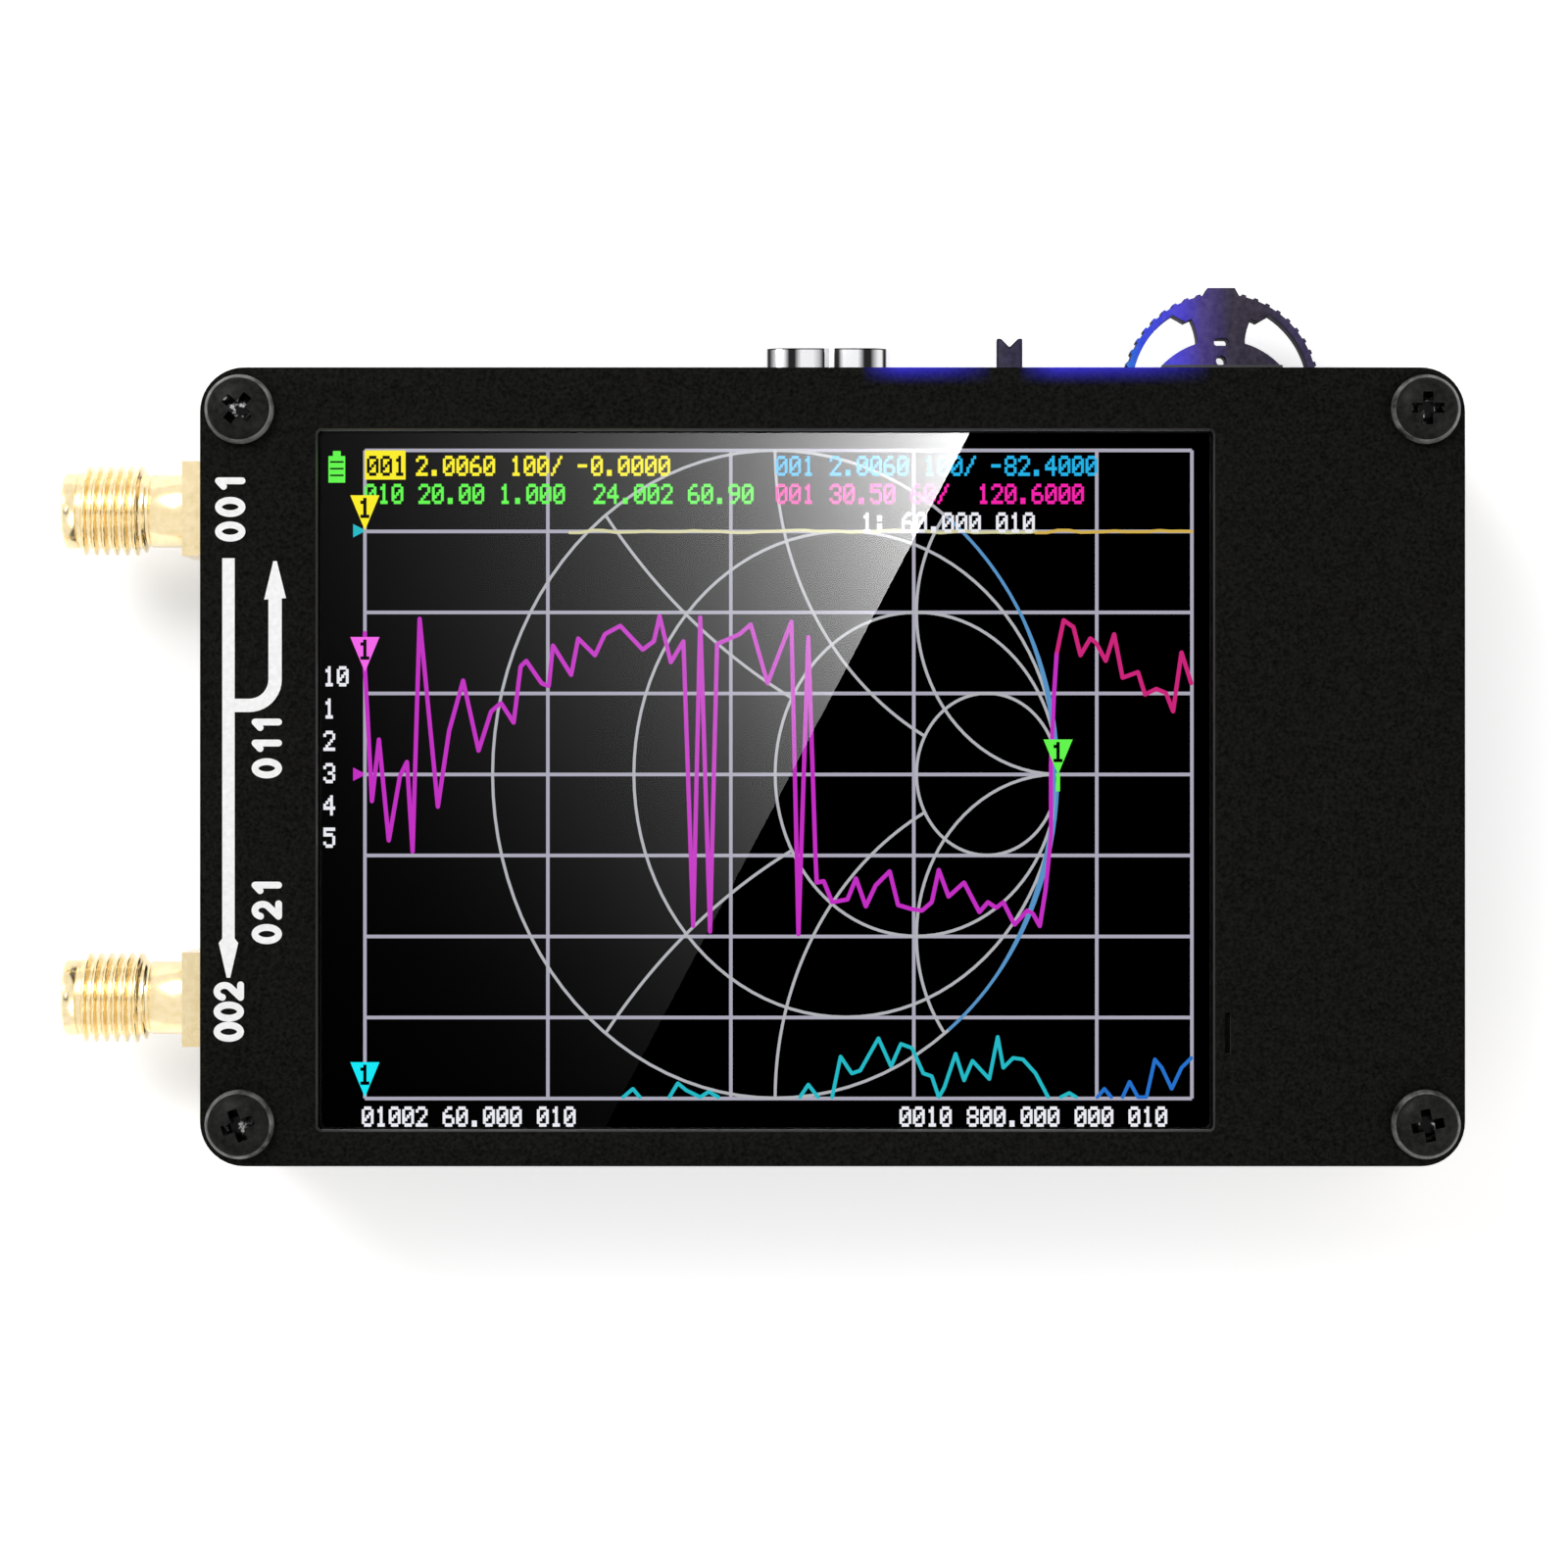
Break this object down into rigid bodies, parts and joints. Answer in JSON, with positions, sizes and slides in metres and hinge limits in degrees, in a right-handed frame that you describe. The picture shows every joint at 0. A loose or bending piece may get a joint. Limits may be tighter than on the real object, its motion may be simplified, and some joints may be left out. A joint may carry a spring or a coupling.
{
  "type": "antenna analyzer",
  "caption": "Pocket antenna analyzer: plates on standoffs around a board and touch display, with coaxial ports, a USB-C socket, a slide switch and a jog lever.",
  "frame": {"origin": "centre of the bounding box's underside, on the plane of the rear screw heads", "axes": "+X away from the coaxial ports, +Y towards the jog lever, +Z out of the display"},
  "size_m": [0.096, 0.0604, 0.0188],
  "materials": {
    "plate": "matte black solder mask on glass-fibre plate",
    "board": "black circuit board with glass-fibre edges",
    "black_steel": "glossy black-plated steel",
    "brass_plain": "turned brass",
    "foam": "closed-cell foam tape",
    "tray_steel": "bare pressed steel",
    "guide_white": "milky light guide",
    "lcd_black": "black display glass",
    "touch_glass": "polished clear glass",
    "flex": "amber film",
    "gold": "bright gold plating",
    "ptfe": "white fluoropolymer",
    "usb_steel": "polished stainless steel",
    "black_plastic": "satin black moulding",
    "switch_steel": "tinned sheet steel",
    "switch_plastic": "dark engineering plastic",
    "chip": "moulded epoxy",
    "crystal_can": "bright metal lid",
    "led": "clear resin over a lit blue die",
    "passive": "fired ceramic with tinned ends",
    "pouch": "laminated foil pouch",
    "socket_white": "natural nylon",
    "lead_red": "red silicone insulation",
    "lead_black": "black silicone insulation"
  },
  "bodies": {
    "chassis": {"front_panel": "plate", "back_panel": "plate", "main_board": "board", "front_screws": "black_steel", "back_screws": "black_steel", "front_standoffs": "brass_plain", "back_standoffs": "brass_plain", "lcd_foam_pads": "foam", "battery_tape": "foam", "lcd_tray": "tray_steel", "backlight_guide": "guide_white", "lcd_cell": "lcd_black", "touch_panel": "touch_glass", "lcd_flex": "flex", "port_1_shell": "gold", "port_2_shell": "gold", "port_1_contact": "gold", "port_2_contact": "gold", "usb_contacts": "gold", "port_1_dielectric": "ptfe", "port_2_dielectric": "ptfe", "usb_shell": "usb_steel", "jog_base": "black_plastic", "usb_tongue": "black_plastic", "power_switch_frame": "switch_steel", "jog_cover": "switch_steel", "jog_click_dome": "switch_steel", "rf_shields": "switch_steel", "power_switch_base": "switch_plastic", "mixer_chips": "chip", "microcontroller": "chip", "synthesizer_chip": "chip", "codec_chip": "chip", "charger_chip": "chip", "inductor": "chip", "crystal": "crystal_can", "status_leds": "led", "board_passives": "passive", "battery": "pouch", "battery_socket": "socket_white", "battery_plug": "socket_white", "battery_lead_positive": "lead_red", "battery_lead_negative": "lead_black"},
    "power_knob": {"power_switch_knob": "black_plastic"},
    "jog_slider": {"jog_carriage": "switch_plastic", "jog_pivot_pin": "switch_steel"},
    "jog_lever": {"jog_lever": "black_plastic"}
  },
  "joints": [
    {"name": "power_slide", "type": "slide", "parent": "chassis", "child": "power_knob", "axis": [1, 0, 0], "range_m": [0, 0.002]},
    {"name": "jog_push", "type": "slide", "parent": "chassis", "child": "jog_slider", "axis": [0, -1, 0], "range_m": [0, 0.00045], "stiffness_N_per_m": 2000, "springref_m": -0.0003},
    {"name": "jog_turn", "type": "hinge", "parent": "jog_slider", "child": "jog_lever", "pos_m": [0.03236, 0.01991, 0.0073], "axis": [0, 0, 1], "range_deg": [-12, 12], "stiffness_Nm_per_rad": 0.02}
  ]
}
